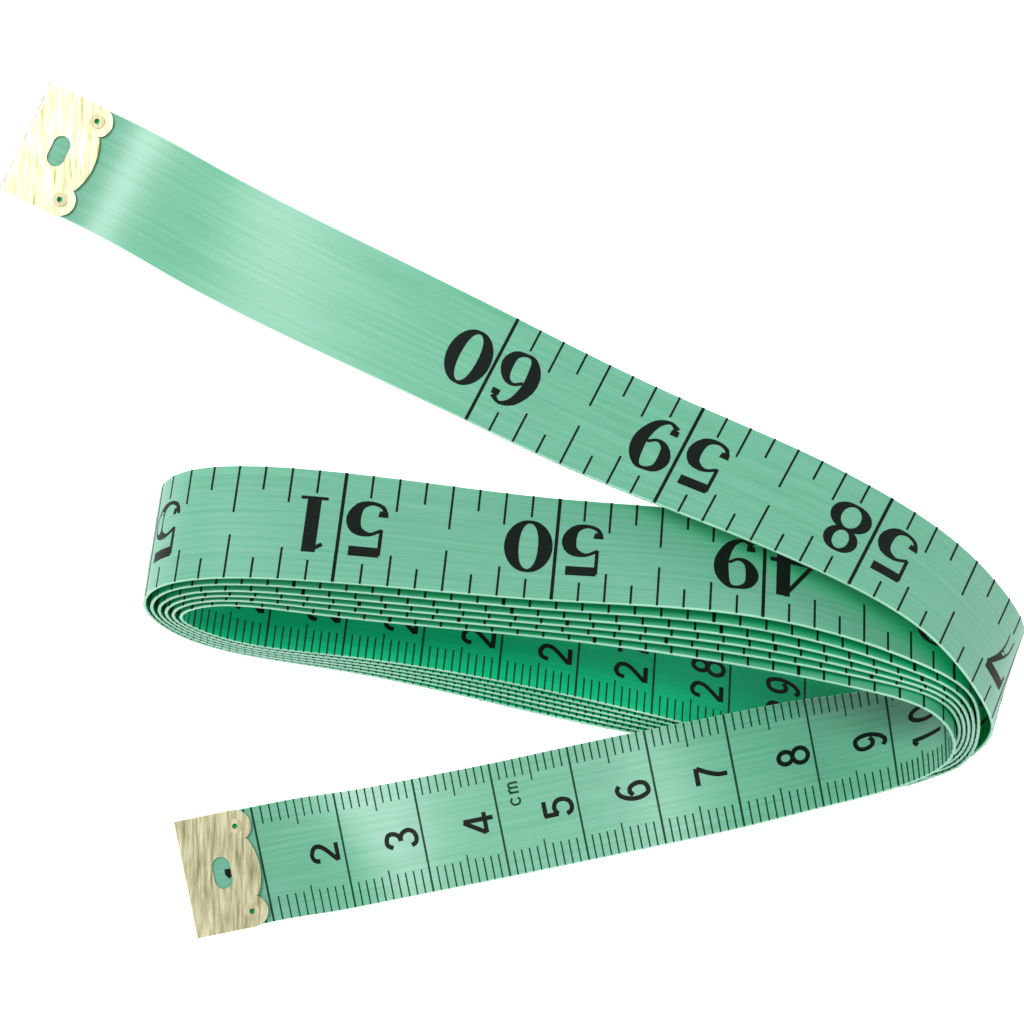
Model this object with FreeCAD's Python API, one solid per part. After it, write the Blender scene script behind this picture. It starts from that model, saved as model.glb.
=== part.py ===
import FreeCAD, Part
import math
import os

# A tailor's tape: one soft printed band with a folded metal clip on each end.
# The middle of the band is wound into a flattened coil that leans on its edge.
# The two ends leave the coil at its right-hand bends and run down to the surface
# that the tape lies on.  Millimetres, +Z up, X along the coil.

Vector = FreeCAD.Vector

# ---- Driving dimensions ----
TAPE_WIDTH = 15.0
CORE_THICKNESS = 0.20        # glass-fibre web in the middle of the band
COAT_THICKNESS = 0.10        # vinyl on each face
SLIT = 0.30                  # gap in the band at each bend line that is a joint
PLACES_IN_A_RUN = 14

CLIP_SHEET = 0.30            # brass sheet of an end clip
CLIP_OVERHANG = 0.10         # how far the clip stands past each edge of the band
CLIP_CLEARANCE = 0.02        # between the clip's leaves and the band
CLIP_LOBE_RADIUS = 2.05      # small round lobes about the eyelets
CLIP_LENGTH = 9.8            # outer edge of the clip to the crown of its middle lobe
CLIP_NOTCH_OFFSET = 8.9      # outer edge to the notches between the lobes
CLIP_NOTCH_SPACING = 7.4     # between the two notches
WINDOW_LENGTH = 4.1          # oblong window, across the tape
WINDOW_WIDTH = 2.3           # the same window, along the tape
WINDOW_OFFSET = 4.9          # outer edge to the window's centre
EYELET_OFFSET = 7.7          # outer edge to the eyelets
EYELET_EDGE = 1.95           # edge of the tape to the eyelets
EYELET_DIAMETER = 1.3        # barrel of an eyelet
EYELET_BORE = 0.7
EYELET_FLANGE = 1.9
EYELET_FLANGE_THICKNESS = 0.15

COIL_SPAN = 100.0            # how long the flattened coil is drawn
# How far each turn has grown from the inner outline to the outer one.
FRONT_GROWTH = [0.0, 0.16, 0.31, 0.46, 0.63, 0.86, 1.0]
BACK_GROWTH = [0.0, 0.20, 0.36, 0.52, 0.68, 0.85, 1.0]
FRONT_CORNERS = range(1, 7)

# The coil's outline in its own plane, right-hand bend first, then the front, the
# left-hand bend and the back: along the coil, then outwards through the front.
INNER_OUTLINE = [
    (54.4, 0.0), (52.6, 4.4), (43.8, 7.0), (29.9, 7.4), (5.2, 7.7), (-24.3, 7.8), (-37.8, 5.3),
    (-39.4, 1.9), (-37.1, -0.6), (-21.3, -1.8), (10.8, -3.4), (34.1, -7.4), (48.2, -7.6), (53.1, -4.6),
]
OUTER_OUTLINE = [
    (57.6, 3.4), (55.9, 8.8), (49.9, 13.4), (29.5, 18.5), (4.2, 17.0), (-22.9, 17.9), (-42.7, 10.9),
    (-44.5, 4.2), (-40.9, -3.6), (-21.3, -6.6), (10.9, -9.8), (35.6, -12.0), (49.6, -11.7), (56.2, -6.6),
]
FIRST_TURN_DROP = [2.6, 1.8, 0.9, 0.3]    # how far the first stations hang below the coil

# The coil's middle line, and how far its edges lean out of the upright.
MIDDLE_X = 8.0
MIDDLE_Y = -14.5
MIDDLE_Z = 13.3
MIDDLE_FALL = -0.15          # y per x
MIDDLE_RISE = 0.03           # z per x
EDGE_TURN = -6.0             # degrees, the coil's width direction seen from above
LEAN_MEAN = 31.5             # degrees
LEAN_SWING = 9.5             # degrees
LEAN_CENTRE = -14.0
LEAN_REACH = 32.0

# The free ends, by hand: the middle of the band (x, y, z), then the width
# direction as a turn seen from above and a lift from the horizontal, in degrees.
METRIC_END = [
    (-21.2, -42.9, 4.2, 12.5, 16.0),
    (-11.2, -40.7, 7.2, 12.3, 22.0),
    (-1.5, -38.4, 10.9, 11.9, 24.0),
    (8.2, -35.9, 15.2, 11.4, 25.0),
    (17.5, -33.6, 18.7, 10.5, 26.5),
    (27.0, -31.5, 19.7, 9.1, 28.5),
    (37.0, -29.6, 16.8, 7.5, 32.5),
    (47.0, -27.8, 13.6, 3.0, 39.0),
]
INCH_END = [
    (49.2, -28.7, 5.4, -9.0, 40.0),
    (58.0, -24.6, 9.0, -12.0, 40.0),
    (60.1, -21.8, 15.0, -19.0, 40.0),
    (60.1, -19.6, 20.9, -29.0, 40.0),
    (53.3, -10.8, 26.5, -32.0, 41.0),
    (42.7, -3.5, 27.7, -32.0, 37.0),
    (31.4, 2.0, 26.7, -31.0, 32.0),
    (20.1, 6.8, 24.4, -29.0, 28.5),
    (8.9, 11.8, 21.8, -27.5, 24.0),
    (-2.4, 17.4, 19.2, -27.0, 20.0),
    (-21.0, 26.6, 13.6, -26.0, 12.0),
    (-38.5, 35.7, 6.6, -26.0, 4.0),
]
METRIC_TIP = (-41.4, -47.1)      # outer edge of the band, seen from above
METRIC_TIP_TURN = 11.6
INCH_TIP = (-62.0, 48.1)
INCH_TIP_TURN = -25.6
FLAT_TIP = 12.0                  # length of band that lies flat at each end

# Where the band bends as a joint, as station numbers along each free end.
METRIC_MID_STATION = 4
INCH_ROOT_STATION = 3
INCH_MID_STATION = 7

BAND_THICKNESS = CORE_THICKNESS + 2 * COAT_THICKNESS
FOLD_RADIUS = BAND_THICKNESS / 2 + CLIP_CLEARANCE + CLIP_SHEET
TIP_HEIGHT = FOLD_RADIUS
ROUTE_WIDTH = 15.0               # the width that the routes above were chosen for


def width_direction(turn, lift):
    """Unit vector across the band, from its upper edge to its lower edge."""
    turn = math.radians(turn)
    lift = math.radians(lift)
    return Vector(math.sin(turn) * math.cos(lift), -math.cos(turn) * math.cos(lift), math.sin(lift))


def coil_lean(x):
    return LEAN_MEAN + LEAN_SWING * math.tanh((x - LEAN_CENTRE) / LEAN_REACH)


def coil_station(turn_count, corner):
    """Middle of the band and its width direction at one corner of one turn."""
    growths = FRONT_GROWTH if corner in FRONT_CORNERS else BACK_GROWTH
    whole = min(int(turn_count), len(growths) - 2)
    part = turn_count - whole
    growth = growths[whole] * (1 - part) + growths[whole + 1] * part
    inner = INNER_OUTLINE[corner]
    outer = OUTER_OUTLINE[corner]
    right = INNER_OUTLINE[0][0]
    along = inner[0] * (1 - growth) + outer[0] * growth
    x = right + (along - right) * COIL_SPAN / 100.0
    out = inner[1] * (1 - growth) + outer[1] * growth
    lean = coil_lean(x)
    across = width_direction(EDGE_TURN, lean)
    normal = Vector(0, math.sin(math.radians(lean)), math.cos(math.radians(lean)))
    middle = Vector(
        x,
        MIDDLE_Y + MIDDLE_FALL * (x - MIDDLE_X),
        MIDDLE_Z + MIDDLE_RISE * (x - MIDDLE_X),
    )
    return middle + normal * out, across


def coil_stations():
    corners = len(INNER_OUTLINE)
    turns = len(FRONT_GROWTH) - 1
    # The last turn ends at the back; the inch end's route carries it on.
    last = turns * corners - 3
    stations = []
    for step in range(last + 1):
        middle, across = coil_station(step / corners, step % corners)
        if step < len(FIRST_TURN_DROP):
            middle = middle + across * FIRST_TURN_DROP[step]
        stations.append((middle, across))
    return stations


def end_stations(route):
    extra = TAPE_WIDTH - ROUTE_WIDTH
    stations = []
    for x, y, z, turn, lift in route:
        across = width_direction(turn, lift)
        stations.append((Vector(x, y, z) + across * extra * math.sin(math.radians(lift)), across))
    return stations


def tip_frame(tip, turn):
    """Outer edge's middle, the way outwards along the band, and across it."""
    across = width_direction(turn, 0.0)
    outward = across.cross(Vector(0, 0, 1))
    return Vector(tip[0], tip[1], TIP_HEIGHT), outward, across


METRIC_FRAME = tip_frame(METRIC_TIP, METRIC_TIP_TURN)
INCH_FRAME = tip_frame(INCH_TIP, INCH_TIP_TURN)


def on_flat(frame, inwards):
    """A station on the flat end of the band, some way in from its outer edge."""
    edge, outward, across = frame
    return edge - outward * inwards, across


def band_stations():
    metric = end_stations(METRIC_END)
    coil = coil_stations()
    inch = end_stations(INCH_END)
    guide = FLAT_TIP / 2
    metric_flat = [on_flat(METRIC_FRAME, guide), on_flat(METRIC_FRAME, FLAT_TIP)]
    inch_flat = [on_flat(INCH_FRAME, FLAT_TIP), on_flat(INCH_FRAME, guide)]
    stations = metric_flat + metric + coil + inch + inch_flat
    coil_start = len(metric_flat) + len(metric)
    inch_start = coil_start + len(coil)
    marks = {
        "metric_flat": 1,
        "metric_mid": 1 + METRIC_MID_STATION,
        "metric_root": coil_start,
        "inch_root": inch_start + INCH_ROOT_STATION,
        "inch_mid": inch_start + INCH_MID_STATION,
        "inch_flat": len(stations) - 2,
    }
    return stations, marks


def ruled_face(rail, following):
    """The straight-ruled face between two rails that have the same knots."""
    surface = Part.BSplineSurface()
    surface.buildFromPolesMultsKnots(
        [rail.getPoles(), following.getPoles()],
        [2, 2], rail.getMultiplicities(),
        [0.0, 1.0], rail.getKnots(),
        False, False, 1, rail.Degree,
    )
    return surface.toShape()


class Band:
    """The band's middle surface as two curves with the same parameter."""

    def __init__(self, stations):
        middles = [middle for middle, across in stations]
        self.knots = [0.0]
        for before, after in zip(middles, middles[1:]):
            self.knots.append(self.knots[-1] + (after - before).Length)
        self.middle = Part.BSplineCurve()
        self.middle.interpolate(Points=middles, Parameters=self.knots)
        ends = [middle + across * TAPE_WIDTH / 2 for middle, across in stations]
        self.edge = Part.BSplineCurve()
        self.edge.interpolate(Points=ends, Parameters=self.knots)
        # Where the flat ends begin, the frame is exactly that of the flat end.
        up = Vector(0, 0, 1)
        metric_start, inch_end = middles[1], middles[-2]
        self.exact = {
            self.knots[1]: (metric_start, METRIC_FRAME[1] * -1, METRIC_FRAME[2], up * -1),
            self.knots[-2]: (inch_end, INCH_FRAME[1], INCH_FRAME[2], up),
        }

    def frame(self, at):
        if at in self.exact:
            return self.exact[at]
        middle = self.middle.value(at)
        across = (self.edge.value(at) - middle).normalize()
        along = self.middle.tangent(at)[0]
        normal = along.cross(across).normalize()
        return middle, along, across, normal

    def rail(self, places, side, depth):
        """A curve along the band at one edge and one depth through its thickness."""
        points = []
        for at in places:
            middle, along, across, normal = self.frame(at)
            points.append(middle + across * side * TAPE_WIDTH / 2 + normal * depth)
        curve = Part.BSplineCurve()
        curve.interpolate(Points=points, Parameters=places)
        return curve

    def layer(self, start, end, low, high):
        """One layer of the band between two places, from one depth to another."""
        places = [start]
        for before, after in zip(self.knots, self.knots[1:]):
            for place in (before, (before + after) / 2):
                if start + 0.8 < place < end - 0.8:
                    places.append(place)
        places.append(end)
        corners = [(-1, low), (1, low), (1, high), (-1, high)]
        rails = [self.rail(places, side, depth) for side, depth in corners]
        # A face as long as the whole coil meshes badly, so each rail is cut into runs.
        cuts = places[:-1:PLACES_IN_A_RUN] + [end]
        faces = []
        for first, last in zip(cuts, cuts[1:]):
            runs = [rail.copy() for rail in rails]
            for run in runs:
                run.segment(first, last)
            for run, following in zip(runs, runs[1:] + runs[:1]):
                faces.append(ruled_face(run, following))
        for loop in ([rail.StartPoint for rail in rails], [rail.EndPoint for rail in rails]):
            faces.append(Part.Face(Part.makePolygon(loop + loop[:1])))
        shell = Part.makeShell(faces)
        shell.sewShape()
        solid = Part.makeSolid(shell)
        if solid.Volume < 0:
            solid.reverse()
        return solid


def tip_place(frame, solid):
    """Carry a solid from a tip's own frame to its place.

    In the tip's frame the origin is the middle of the band's outer edge, X runs
    inwards along the band, Y runs across it and Z is up.
    """
    edge, outward, across = frame
    inward = outward * -1
    side = Vector(0, 0, 1).cross(inward)
    matrix = FreeCAD.Matrix(
        inward.x, side.x, 0, edge.x,
        inward.y, side.y, 0, edge.y,
        0, 0, 1, edge.z,
        0, 0, 0, 1,
    )
    solid = solid.copy()
    solid.Placement = FreeCAD.Placement(matrix).multiply(solid.Placement)
    return solid


def block(x_low, x_high, width, z_low, z_high):
    return Part.makeBox(x_high - x_low, width, z_high - z_low, Vector(x_low, -width / 2, z_low))


def eyelet_centres():
    x = EYELET_OFFSET - FOLD_RADIUS
    y = TAPE_WIDTH / 2 - EYELET_EDGE
    return [Vector(x, -y, 0), Vector(x, y, 0)]


def eyelet_holes():
    tall = Vector(0, 0, -1)
    return [Part.makeCylinder(EYELET_DIAMETER / 2, 2, at + tall) for at in eyelet_centres()]


def clip_leaf():
    """Outline of one leaf of a clip, as a prism one sheet thick from z = 0."""
    width = TAPE_WIDTH + 2 * CLIP_OVERHANG
    eyelet_x = EYELET_OFFSET - FOLD_RADIUS
    leaf = block(0, eyelet_x, width, 0, CLIP_SHEET)
    for at in eyelet_centres():
        leaf = leaf.fuse(Part.makeCylinder(CLIP_LOBE_RADIUS, CLIP_SHEET, at))
    # The middle lobe is an arc through both notches and its own crown.
    rise = CLIP_LENGTH - CLIP_NOTCH_OFFSET
    half = CLIP_NOTCH_SPACING / 2
    radius = (half * half + rise * rise) / (2 * rise)
    crown = CLIP_LENGTH - FOLD_RADIUS
    disc = Part.makeCylinder(radius, CLIP_SHEET, Vector(crown - radius, 0, 0))
    middle = disc.common(block(eyelet_x / 2, crown + 1, CLIP_NOTCH_SPACING, 0, CLIP_SHEET))
    return leaf.fuse(middle).removeSplitter()


def clip_window():
    """The oblong hole through both leaves, as a tall cutter."""
    x = WINDOW_OFFSET - FOLD_RADIUS
    straight = WINDOW_LENGTH - WINDOW_WIDTH
    window = block(x - WINDOW_WIDTH / 2, x + WINDOW_WIDTH / 2, straight, -2, 2)
    for y in (-straight / 2, straight / 2):
        window = window.fuse(Part.makeCylinder(WINDOW_WIDTH / 2, 4, Vector(x, y, -2)))
    return window


def tip_clip():
    """A strip of sheet folded over the end of the band."""
    width = TAPE_WIDTH + 2 * CLIP_OVERHANG
    inside = BAND_THICKNESS / 2 + CLIP_CLEARANCE
    axis = Vector(0, 1, 0)
    start = Vector(0, -width / 2, 0)
    fold = Part.makeCylinder(FOLD_RADIUS, width, start, axis)
    fold = fold.cut(Part.makeCylinder(inside, width, start, axis))
    fold = fold.common(block(-1, 0, width, -1, 1))
    upper = clip_leaf()
    lower = clip_leaf()
    upper.translate(Vector(0, 0, inside))
    lower.translate(Vector(0, 0, -inside - CLIP_SHEET))
    clip = fold.fuse([upper, lower]).removeSplitter()
    clip = clip.cut(clip_window())
    for drill in eyelet_holes():
        clip = clip.cut(drill)
    return clip.Solids[0]


def tip_eyelet(at):
    """A small tube through clip and band, with its flange on the upper leaf."""
    reach = BAND_THICKNESS / 2 + CLIP_CLEARANCE + CLIP_SHEET
    bottom = at + Vector(0, 0, -reach)
    top = at + Vector(0, 0, reach)
    barrel = Part.makeCylinder(EYELET_DIAMETER / 2, 2 * reach, bottom)
    flange = Part.makeCylinder(EYELET_FLANGE / 2, EYELET_FLANGE_THICKNESS, top)
    bore = Part.makeCylinder(EYELET_BORE / 2, 4 * reach, bottom + Vector(0, 0, -reach))
    return barrel.fuse(flange).removeSplitter().cut(bore)


def tip_plate(frame, upwards, low, high):
    """The flat end of one layer, with the eyelets' holes through it."""
    z_low, z_high = sorted((low * upwards, high * upwards))
    plate = block(0, FLAT_TIP, TAPE_WIDTH, z_low, z_high)
    for drill in eyelet_holes():
        plate = plate.cut(drill).Solids[0]
    return tip_place(frame, plate)


def build():
    stations, marks = band_stations()
    band = Band(stations)
    place = {name: band.knots[number] for name, number in marks.items()}
    half_core = CORE_THICKNESS / 2
    layers = {
        "core": (-half_core, half_core),
        "inch_coat": (half_core, half_core + COAT_THICKNESS),
        "metric_coat": (-half_core - COAT_THICKNESS, -half_core),
    }
    slit = SLIT / 2
    pieces = {
        "metric_leg_far": (place["metric_flat"], place["metric_mid"] - slit),
        "metric_leg_near": (place["metric_mid"] + slit, place["metric_root"] - slit),
        "coil": (place["metric_root"] + slit, place["inch_root"] - slit),
        "inch_leg_near": (place["inch_root"] + slit, place["inch_mid"] - slit),
        "inch_leg_far": (place["inch_mid"] + slit, place["inch_flat"]),
    }
    flat_ends = {"metric_leg_far": (METRIC_FRAME, -1), "inch_leg_far": (INCH_FRAME, 1)}
    solids = {}
    for piece, (start, end) in pieces.items():
        for layer, (low, high) in layers.items():
            solid = band.layer(start, end, low, high)
            if piece in flat_ends:
                frame, upwards = flat_ends[piece]
                solid = solid.fuse(tip_plate(frame, upwards, low, high)).Solids[0]
            solids[piece + "_" + layer] = solid
    for name, frame in (("metric", METRIC_FRAME), ("inch", INCH_FRAME)):
        solids[name + "_tip_clip"] = tip_place(frame, tip_clip())
        for side, at in zip(("left", "right"), eyelet_centres()):
            solids[name + "_tip_eyelet_" + side] = tip_place(frame, tip_eyelet(at))
    hinges = {name: band.frame(place[name]) for name in ("metric_mid", "metric_root", "inch_root", "inch_mid")}
    return solids, hinges, place


def main():
    solids, hinges, place = build()
    box = Part.makeCompound(list(solids.values())).optimalBoundingBox()
    shift = Vector(-box.Center.x, -box.Center.y, -box.ZMin)
    os.makedirs("parts", exist_ok=True)
    for name, solid in solids.items():
        solid.translate(shift)
        solid.exportStep("parts/" + name + ".step")
        print(name, "valid", solid.isValid(), "volume", round(solid.Volume, 3))
    print("shift", shift)
    print("size", box.XLength, box.YLength, box.ZLength)
    for name, (middle, along, across, normal) in hinges.items():
        print("hinge", name, "at", middle + shift, "across", across, "along", along)
    start = place["metric_flat"] - FLAT_TIP
    print("band length", place["inch_flat"] + FLAT_TIP - start)
    print("places from the metric end", {name: round(at - start, 2) for name, at in place.items()})


main()
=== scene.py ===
# %% [markdown]
# # A tailor's tape measure
# A soft printed band is wound into a flattened coil that leans on its edge.
# Both ends leave the coil at its right-hand bends, and each ends in a folded metal clip.
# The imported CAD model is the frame: bodies, joints and the two clips come from it.
# This script draws the band as one smooth ribbon, prints its scales and lights it.
# Every length in it is in millimetres until it reaches Blender, which works in metres.

import math

import bpy
import numpy as np
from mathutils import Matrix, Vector


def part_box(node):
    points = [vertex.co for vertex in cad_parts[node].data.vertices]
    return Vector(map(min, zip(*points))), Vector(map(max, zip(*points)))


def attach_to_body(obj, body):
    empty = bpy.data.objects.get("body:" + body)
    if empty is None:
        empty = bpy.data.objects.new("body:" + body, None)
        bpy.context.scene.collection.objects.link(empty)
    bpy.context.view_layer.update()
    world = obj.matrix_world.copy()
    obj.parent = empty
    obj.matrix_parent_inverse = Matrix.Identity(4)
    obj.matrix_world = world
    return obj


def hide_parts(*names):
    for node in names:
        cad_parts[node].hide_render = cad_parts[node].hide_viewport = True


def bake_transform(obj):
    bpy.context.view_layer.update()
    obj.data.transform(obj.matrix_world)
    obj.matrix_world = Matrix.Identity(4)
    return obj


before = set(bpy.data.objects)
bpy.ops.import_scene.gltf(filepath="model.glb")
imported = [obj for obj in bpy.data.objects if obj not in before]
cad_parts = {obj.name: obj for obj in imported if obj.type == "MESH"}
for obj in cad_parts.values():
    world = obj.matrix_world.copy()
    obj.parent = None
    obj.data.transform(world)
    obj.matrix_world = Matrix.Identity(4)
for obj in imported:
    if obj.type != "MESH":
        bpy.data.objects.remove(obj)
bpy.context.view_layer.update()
MM = 0.001
print("CAD nodes", len(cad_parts))

# %% [markdown]
# ## The band's route
# The real band lies in one line from clip to clip: a free end, nearly six turns of
# the coil, and the other free end.
# A Blender curve with a flat profile could draw it, but the tilt of such a curve is
# hard to aim, and this band twists slowly from lying flat to standing on its edge.
# So the route is a list of stations, the same ones as in the CAD part.
# A station is the middle of the band and the direction across it,
# from the edge that is higher in the view to the edge that is lower.

# %% Route dimensions
TAPE_WIDTH = 15.0
BAND_THICKNESS = 0.40
TIP_HEIGHT = 0.52
FLAT_TIP = 12.0
COIL_SPAN = 100.0
OUTLINE_SPAN = 100.0     # the coil length that the two outlines are drawn for
FRONT_GROWTH = [0.0, 0.16, 0.31, 0.46, 0.63, 0.86, 1.0]
BACK_GROWTH = [0.0, 0.20, 0.36, 0.52, 0.68, 0.85, 1.0]
FRONT_CORNERS = range(1, 7)
CORNERS_LEFT_OUT = 3     # the last turn stops this many corners short of a whole one
INNER_OUTLINE = [
    (54.4, 0.0), (52.6, 4.4), (43.8, 7.0), (29.9, 7.4), (5.2, 7.7), (-24.3, 7.8), (-37.8, 5.3),
    (-39.4, 1.9), (-37.1, -0.6), (-21.3, -1.8), (10.8, -3.4), (34.1, -7.4), (48.2, -7.6), (53.1, -4.6),
]
OUTER_OUTLINE = [
    (57.6, 3.4), (55.9, 8.8), (49.9, 13.4), (29.5, 18.5), (4.2, 17.0), (-22.9, 17.9), (-42.7, 10.9),
    (-44.5, 4.2), (-40.9, -3.6), (-21.3, -6.6), (10.9, -9.8), (35.6, -12.0), (49.6, -11.7), (56.2, -6.6),
]
FIRST_TURN_DROP = [2.6, 1.8, 0.9, 0.3]
MIDDLE_X = 8.0
MIDDLE_Y = -14.5
MIDDLE_Z = 13.3
MIDDLE_FALL = -0.15
MIDDLE_RISE = 0.03
EDGE_TURN = -6.0
LEAN_MEAN = 31.5
LEAN_SWING = 9.5
LEAN_CENTRE = -14.0
LEAN_REACH = 32.0
METRIC_END = [
    (-21.2, -42.9, 4.2, 12.5, 16.0),
    (-11.2, -40.7, 7.2, 12.3, 22.0),
    (-1.5, -38.4, 10.9, 11.9, 24.0),
    (8.2, -35.9, 15.2, 11.4, 25.0),
    (17.5, -33.6, 18.7, 10.5, 26.5),
    (27.0, -31.5, 19.7, 9.1, 28.5),
    (37.0, -29.6, 16.8, 7.5, 32.5),
    (47.0, -27.8, 13.6, 3.0, 39.0),
]
INCH_END = [
    (49.2, -28.7, 5.4, -9.0, 40.0),
    (58.0, -24.6, 9.0, -12.0, 40.0),
    (60.1, -21.8, 15.0, -19.0, 40.0),
    (60.1, -19.6, 20.9, -29.0, 40.0),
    (53.3, -10.8, 26.5, -32.0, 41.0),
    (42.7, -3.5, 27.7, -32.0, 37.0),
    (31.4, 2.0, 26.7, -31.0, 32.0),
    (20.1, 6.8, 24.4, -29.0, 28.5),
    (8.9, 11.8, 21.8, -27.5, 24.0),
    (-2.4, 17.4, 19.2, -27.0, 20.0),
    (-21.0, 26.6, 13.6, -26.0, 12.0),
    (-38.5, 35.7, 6.6, -26.0, 4.0),
]
METRIC_TIP = (-41.4, -47.1)
METRIC_TIP_TURN = 11.6
INCH_TIP = (-62.0, 48.1)
INCH_TIP_TURN = -25.6
METRIC_MID_STATION = 4
INCH_ROOT_STATION = 3
INCH_MID_STATION = 7
print("coil corners", len(INNER_OUTLINE), "turns", len(FRONT_GROWTH) - 1)

# %% [markdown]
# ## From dimensions to stations
# Each turn of the real coil lies against the one inside it, so no turn has an outline
# of its own. Every turn here is a mix of the innermost and the outermost outline,
# and the growth lists say how far along the mix it is. Listing every turn's points
# would give the same shape, but then a new coil size would mean a new list.

# %% Stations
def width_direction(turn, lift):
    """Unit vector across the band, from its upper edge to its lower edge."""
    turn = math.radians(turn)
    lift = math.radians(lift)
    flat = math.cos(lift)
    return np.array((math.sin(turn) * flat, -math.cos(turn) * flat, math.sin(lift)))


def coil_station(turn_count, corner):
    """Middle of the band and its width direction at one corner of one turn."""
    growths = FRONT_GROWTH if corner in FRONT_CORNERS else BACK_GROWTH
    growth = np.interp(turn_count, range(len(growths)), growths)
    inner = INNER_OUTLINE[corner]
    outer = OUTER_OUTLINE[corner]
    right = INNER_OUTLINE[0][0]
    along = inner[0] * (1 - growth) + outer[0] * growth
    x = right + (along - right) * COIL_SPAN / OUTLINE_SPAN
    out = inner[1] * (1 - growth) + outer[1] * growth
    lean = LEAN_MEAN + LEAN_SWING * math.tanh((x - LEAN_CENTRE) / LEAN_REACH)
    normal = np.array((0, math.sin(math.radians(lean)), math.cos(math.radians(lean))))
    run = x - MIDDLE_X
    middle = np.array((x, MIDDLE_Y + MIDDLE_FALL * run, MIDDLE_Z + MIDDLE_RISE * run))
    return middle + normal * out, width_direction(EDGE_TURN, lean)


def tip_stations(tip, turn, insets):
    """Stations on a flat end, each some way in from the band's outer edge."""
    across = width_direction(turn, 0.0)
    outward = np.cross(across, (0, 0, 1))
    edge = np.array((tip[0], tip[1], TIP_HEIGHT))
    return [(edge - outward * inset, across) for inset in insets]


def band_stations():
    """Every station, and which of them are joints."""
    corners = len(INNER_OUTLINE)
    last = (len(FRONT_GROWTH) - 1) * corners - CORNERS_LEFT_OUT
    stations = tip_stations(METRIC_TIP, METRIC_TIP_TURN, (0, FLAT_TIP / 2, FLAT_TIP))
    flat = len(stations)
    for x, y, z, turn, lift in METRIC_END:
        stations.append((np.array((x, y, z)), width_direction(turn, lift)))
    root = len(stations)
    for step in range(last + 1):
        middle, across = coil_station(step / corners, step % corners)
        if step < len(FIRST_TURN_DROP):
            middle = middle + across * FIRST_TURN_DROP[step]
        stations.append((middle, across))
    inch = len(stations)
    for x, y, z, turn, lift in INCH_END:
        stations.append((np.array((x, y, z)), width_direction(turn, lift)))
    stations += tip_stations(INCH_TIP, INCH_TIP_TURN, (FLAT_TIP, FLAT_TIP / 2, 0))
    joints = {
        "metric_mid": flat + METRIC_MID_STATION - 1,
        "metric_root": root,
        "inch_root": inch + INCH_ROOT_STATION,
        "inch_mid": inch + INCH_MID_STATION,
    }
    return stations, joints


# %% [markdown]
# ## A smooth curve through the stations
# Vinyl band has no kinks: where nothing creases it, its bend changes little by little.
# A cubic spline with no bending at its ends has that property and passes through
# every station, where a subdivided mesh would cut inside them.
# Sampled finely, it gives the band's middle, width direction and face direction
# at any distance from the metric end.

# %% Spline
FINE_SAMPLES = 5000


def spline(knots, values, at):
    """Natural cubic spline through values at knots, read at other places."""
    gaps = np.diff(knots)
    slopes = np.diff(values, axis=0) / gaps[:, None]
    system = np.diag(np.full(len(knots), 1.0))
    right = np.zeros_like(values)
    for i in range(1, len(knots) - 1):
        system[i, i - 1] = gaps[i - 1]
        system[i, i] = 2 * (gaps[i - 1] + gaps[i])
        system[i, i + 1] = gaps[i]
        right[i] = 6 * (slopes[i] - slopes[i - 1])
    bend = np.linalg.solve(system, right)
    i = np.clip(np.searchsorted(knots, at, side="right") - 1, 0, len(gaps) - 1)
    h = gaps[i][:, None]
    a = (knots[i + 1] - at)[:, None]
    b = (at - knots[i])[:, None]
    cubic = (bend[i] * a**3 + bend[i + 1] * b**3) / (6 * h)
    return cubic + (values[i] / h - bend[i] * h / 6) * a + (values[i + 1] / h - bend[i + 1] * h / 6) * b


stations, joint_stations = band_stations()
middles = np.array([middle for middle, across in stations])
acrosses = np.array([across for middle, across in stations])
knots = np.concatenate(([0.0], np.cumsum(np.linalg.norm(np.diff(middles, axis=0), axis=1))))
fine = np.linspace(0, knots[-1], FINE_SAMPLES)
curve = spline(knots, middles, fine)
edge_line = spline(knots, middles + acrosses * TAPE_WIDTH / 2, fine)
across_line = edge_line - curve
across_line /= np.linalg.norm(across_line, axis=1)[:, None]
along_line = np.gradient(curve, axis=0)
along_line /= np.linalg.norm(along_line, axis=1)[:, None]
normal_line = np.cross(along_line, across_line)
normal_line /= np.linalg.norm(normal_line, axis=1)[:, None]
steps = np.linalg.norm(np.diff(curve, axis=0), axis=1)
distance = np.concatenate(([0.0], np.cumsum(steps)))
joint_places = {
    name: float(np.interp(knots[number], fine, distance))
    for name, number in joint_stations.items()
}
band_length = float(distance[-1])


# %% [markdown]
# ## Lining up with the CAD frame
# The CAD model was shifted so that it stands on the origin.
# One eyelet, whose place on the route is known, tells by how much.
# The shift could be typed in, but then it would be wrong after the next CAD change.

# %% Shift
EYELET_OFFSET = 7.7      # from the clip's fold to the eyelet's middle
EYELET_EDGE = 1.95       # from the band's edge to the eyelet's middle
eyelet_low, eyelet_high = (np.array(corner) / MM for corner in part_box("metric_tip_eyelet_left"))
tip_across = acrosses[0]
tip_outward = np.cross(tip_across, (0, 0, 1))
eyelet_route = middles[0] - tip_outward * (EYELET_OFFSET - TIP_HEIGHT)
eyelet_route = eyelet_route + tip_across * (TAPE_WIDTH / 2 - EYELET_EDGE)
SHIFT = (eyelet_low + eyelet_high) / 2 - eyelet_route
SHIFT[2] = eyelet_low[2]
print("shift", SHIFT)


def read_line(line, at):
    """One of the fine lines, read at any distances from the metric end."""
    return np.stack([np.interp(at, distance, line[:, k]) for k in range(3)], axis=-1)


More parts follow.
